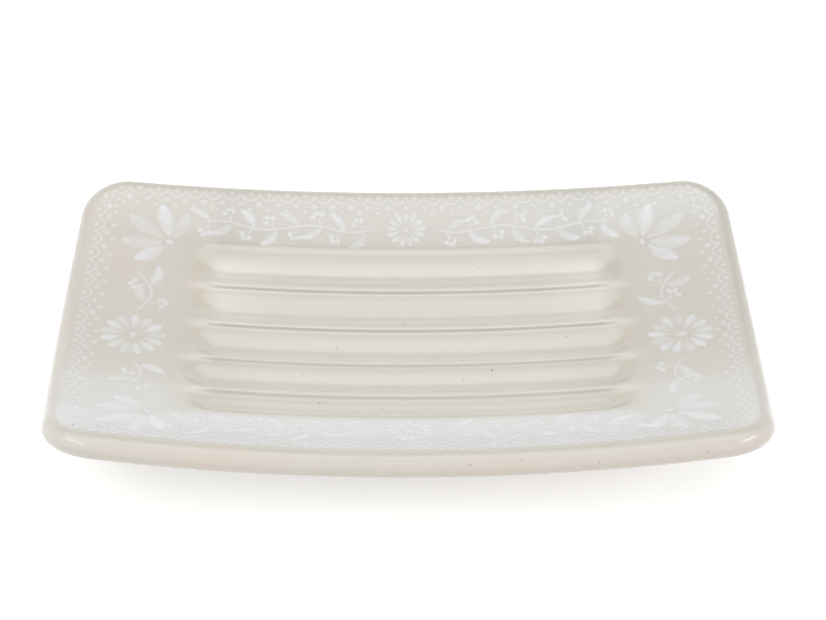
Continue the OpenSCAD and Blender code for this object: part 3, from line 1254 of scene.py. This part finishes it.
@dataclass(frozen=True)
class BareClay:
    """Fired stoneware clay, wiped clean of glaze, ground flat where it stands.

    To the eye it is matt and sandy, warmer than the glaze, with dark grit.
    """

    body: str = "#C9B79F"
    toasted: Tint = Tint("#B08D68", 9.0, 3.0, 0.5, (0.4, 0.7), 0.7)
    # The grit is drawn about twice as coarse as it is so that it shows
    grit: Tint = Tint("#7A6650", 0.5, 4.0, 0.7, (0.6, 0.72), 0.8)
    # Height of the grains, how strongly they show, and the clay's roughness
    grain_h: float = 0.15
    grain_strength: float = 0.6
    roughness: float = 0.85

    def build(self) -> bpy.types.Material:
        """Returns the foot ring's material."""
        material, tree = new_material("bare_stoneware_ground")
        place = add_node(tree, "ShaderNodeTexCoord").outputs["Object"]
        colour = linear(self.body)
        for tint in (self.toasted, self.grit):
            grains = add_node(tree, "ShaderNodeTexNoise", {},
                              {"Vector": place, "Scale": per_mm(tint.size),
                               "Detail": tint.detail, "Roughness": tint.roughness})
            cover = add_node(tree, "ShaderNodeMapRange", {},
                             {"Value": grains.outputs["Fac"], "From Min": tint.span[0],
                              "From Max": tint.span[1], "To Max": tint.most})
            colour = add_node(tree, "ShaderNodeMix", {"data_type": "RGBA"},
                              {MIX_FACTOR: cover.outputs["Result"], MIX_A: colour,
                               MIX_B: linear(tint.colour)}).outputs[MIX_RESULT]
        # The last of the tints is the grit, whose grains also stand proud
        bump = add_node(tree, "ShaderNodeBump", {},
                        {"Height": grains.outputs["Fac"], "Strength": self.grain_strength,
                         "Distance": self.grain_h * MM})
        shader = add_node(tree, "ShaderNodeBsdfPrincipled", {},
                          {"Base Color": colour, "Roughness": self.roughness,
                           "Normal": bump.outputs["Normal"]})
        add_node(tree, "ShaderNodeOutputMaterial", {}, {"Surface": shader.outputs["BSDF"]})
        return material


@dataclass(frozen=True)
class Softbox:
    """One softbox that faces the dish."""

    name: str
    # Its direction from the dish, from +Y towards +X, and its height above the horizon,
    # in degrees, and its distance
    azimuth: float
    elevation: float
    away: float
    # Width and height of its face, and that face's brightness, where 1 is a white surface
    # in full light
    size: Span
    level: float

    def hang(self) -> None:
        """Hangs the softbox."""
        turn, rise = math.radians(self.azimuth), math.radians(self.elevation)
        way = Vector((math.sin(turn) * math.cos(rise), math.cos(turn) * math.cos(rise),
                      math.sin(rise)))
        data = bpy.data.lights.new(self.name, "AREA")
        data.shape = "RECTANGLE"
        data.size, data.size_y = (side * MM for side in self.size)
        # A lamp of this power has a face of that brightness
        data.energy = self.level * math.pi * data.size * data.size_y
        lamp = linked(self.name, data)
        lamp.location = way * self.away * MM
        lamp.rotation_mode = "QUATERNION"
        lamp.rotation_quaternion = (-way).to_track_quat("-Z", "Y")


@dataclass
class Studio:
    """A plain pale floor, soft studio light, and the camera at the photograph's angle."""

    form: DishForm
    # The picture's width and the lens, in pixels, and the camera's turns in radians
    photo_w: float = 826.0
    focal: float = 2220.4
    yaw: float = 0.0146
    pitch: float = 0.6443
    roll: float = 0.0072
    # Where the dish's middle lies before the camera: to the right, down and ahead
    middle_at: tuple[float, float, float] = (-1.273, 10.568, 480.58)
    # The sensor's width, and the least distance at which the camera sees
    sensor: float = 36.0
    nearest: float = 10.0
    floor_size: float = 4000.0
    # How far the floor lies below the foot, so that the two never share a plane
    floor_gap: float = 0.02
    # The floor's paper, and what the eye sees instead: a darker one and a glow, which
    # keep the dish's shadow soft
    paper: str = "#F4F4F4"
    paper_seen: str = "#E7E7E7"
    paper_glow: float = 0.51
    # Between which distances from the dish it turns plain white to the eye
    white_span: Span = (300.0, 700.0)
    # The light all round. As gloss mirrors it, it falls from one level to the other between
    # two heights of its direction, and for all else that it lights it has one level
    sky_span: Span = (0.28, 0.7)
    sky_levels: Span = (1.4, 0.12)
    room_level: float = 0.55
    softboxes: tuple[Softbox, ...] = (
        Softbox("overhead_softbox", 0.0, 90.0, 620.0, (1200.0, 470.0), 1.3),
        Softbox("right_softbox", 118.0, 31.0, 900.0, (560.0, 220.0), 4.36),
        Softbox("left_softbox", -134.0, 43.0, 900.0, (720.0, 260.0), 3.22))

    def build(self) -> None:
        """Builds the camera, the floor, the sky and the lights."""
        self.camera()
        self.floor()
        self.sky()
        for softbox in self.softboxes:
            softbox.hang()

    def camera(self) -> None:
        """Places the camera from its angles and from where the dish lies before it."""
        turned = Matrix.Rotation(self.yaw, 3, "Z")
        tipped = Matrix.Rotation(self.pitch + math.pi / 2, 3, "X")
        rolled = Matrix.Rotation(self.roll, 3, "Z")
        # Rows: to the right, downwards and forwards in the picture
        view = rolled @ tipped @ turned
        eye = -(view.transposed() @ Vector(self.middle_at))
        eye.z += self.form.mid_z
        across, down, ahead = (Vector(row) for row in view)
        data = bpy.data.cameras.new("photo_camera")
        data.sensor_width = self.sensor
        data.lens = self.focal / self.photo_w * self.sensor
        data.clip_start = self.nearest * MM
        camera = linked("photo_camera", data)
        axes = Matrix((across, -down, -ahead)).transposed().to_4x4()
        camera.matrix_world = Matrix.Translation(eye * MM) @ axes
        bpy.context.scene.camera = camera

    def floor(self) -> None:
        """Lays the floor of matt paper. To the eye it is white, with the dish's soft shadow.

        Far from the dish it is plain white. From below it lets both sight and light
        through, so that the underside shows.
        """
        signs = np.array([(-1, -1), (1, -1), (1, 1), (-1, 1)])
        corners = np.column_stack([signs * self.floor_size / 2, np.full(4, -self.floor_gap)])
        piece = smooth_mesh("studio_floor", corners, [(0, 1, 2, 3)])
        material, tree = new_material("paper_floor_white")
        paper, shaded = (add_node(tree, "ShaderNodeBsdfDiffuse", {}, {"Color": linear(tone)})
                         for tone in (self.paper, self.paper_seen))
        glow, white = (add_node(tree, "ShaderNodeEmission", {}, {"Strength": level})
                       for level in (self.paper_glow, 1.0))
        pale = add_node(tree, "ShaderNodeAddShader", {},
                        {0: shaded.outputs[0], 1: glow.outputs[0]})
        place = add_node(tree, "ShaderNodeTexCoord").outputs["Object"]
        away = add_node(tree, "ShaderNodeVectorMath", {"operation": "LENGTH"}, {0: place})
        far = add_node(tree, "ShaderNodeMapRange", {"interpolation_type": "SMOOTHSTEP"},
                       {"Value": away.outputs["Value"], "From Min": self.white_span[0] * MM,
                        "From Max": self.white_span[1] * MM})
        side = add_node(tree, "ShaderNodeNewGeometry").outputs["Backfacing"]
        passed = add_node(tree, "ShaderNodeLightPath").outputs["Transparent Depth"]
        below = add_node(tree, "ShaderNodeMath", {"operation": "MAXIMUM", "use_clamp": True},
                         {0: side, 1: passed})
        clear = add_node(tree, "ShaderNodeBsdfTransparent")
        even = add_node(tree, "ShaderNodeMixShader", {},
                        {0: far.outputs["Result"], 1: pale.outputs[0], 2: white.outputs[0]})
        both = add_node(tree, "ShaderNodeMixShader", {},
                        {0: self.seen(tree), 1: paper.outputs[0], 2: even.outputs[0]})
        one_way = add_node(tree, "ShaderNodeMixShader", {},
                           {0: below.outputs[0], 1: both.outputs[0], 2: clear.outputs[0]})
        add_node(tree, "ShaderNodeOutputMaterial", {}, {"Surface": one_way.outputs[0]})
        piece.data.materials.append(material)

    @staticmethod
    def seen(tree: Tree) -> Socket:
        """Adds the nodes for a share of one on rays that show the background, else zero.

        Args:
            tree: Node tree of the floor or the world.

        Returns:
            The output socket: one for the camera's rays, mirrored ones and those let through.
        """
        rays = add_node(tree, "ShaderNodeLightPath").outputs
        shown = rays["Is Camera Ray"]
        for kind in ("Is Glossy Ray", "Is Transmission Ray"):
            shown = add_node(tree, "ShaderNodeMath", {"operation": "MAXIMUM"},
                             {0: shown, 1: rays[kind]}).outputs[0]
        return shown

    def sky(self) -> None:
        """Sets the light all round: white where the eye looks, softer from above."""
        world = bpy.data.worlds.new("studio_light")
        bpy.context.scene.world = world
        world.use_nodes = True
        tree = world.node_tree
        tree.nodes.clear()
        rays = add_node(tree, "ShaderNodeLightPath")
        place = add_node(tree, "ShaderNodeTexCoord").outputs["Generated"]
        height = add_node(tree, "ShaderNodeSeparateXYZ", {}, {"Vector": place})
        shade = add_node(tree, "ShaderNodeMapRange", {"interpolation_type": "SMOOTHSTEP"},
                         {"Value": height.outputs["Z"], "From Min": self.sky_span[0],
                          "From Max": self.sky_span[1], "To Min": self.sky_levels[0],
                          "To Max": self.sky_levels[1]})
        level = add_node(tree, "ShaderNodeMath", {"operation": "MAXIMUM"},
                         {0: rays.outputs["Is Camera Ray"], 1: shade.outputs["Result"]})
        backdrop, soft = (add_node(tree, "ShaderNodeBackground", {}, {"Strength": strength})
                          for strength in (level.outputs[0], self.room_level))
        both = add_node(tree, "ShaderNodeMixShader", {},
                        {0: self.seen(tree), 1: soft.outputs[0], 2: backdrop.outputs[0]})
        add_node(tree, "ShaderNodeOutputWorld", {}, {"Surface": both.outputs[0]})


def main() -> None:
    """Builds the dish and its studio."""
    logging.basicConfig(level=logging.INFO, format="%(name)s: %(message)s")
    bpy.context.scene.view_settings.view_transform = "Standard"
    form = DishForm.from_frame()
    glaze = SpeckledGlaze()
    tray = GlazedTray(form)
    dress(tray.build(), glaze.build())
    slip = WhiteSlip().build(glaze)
    for piece in SlipBorder(tray).build():
        dress(piece, slip)
    dress(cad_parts["foot_ring"], BareClay().build())
    Studio(form).build()


if __name__ == "__main__":
    main()
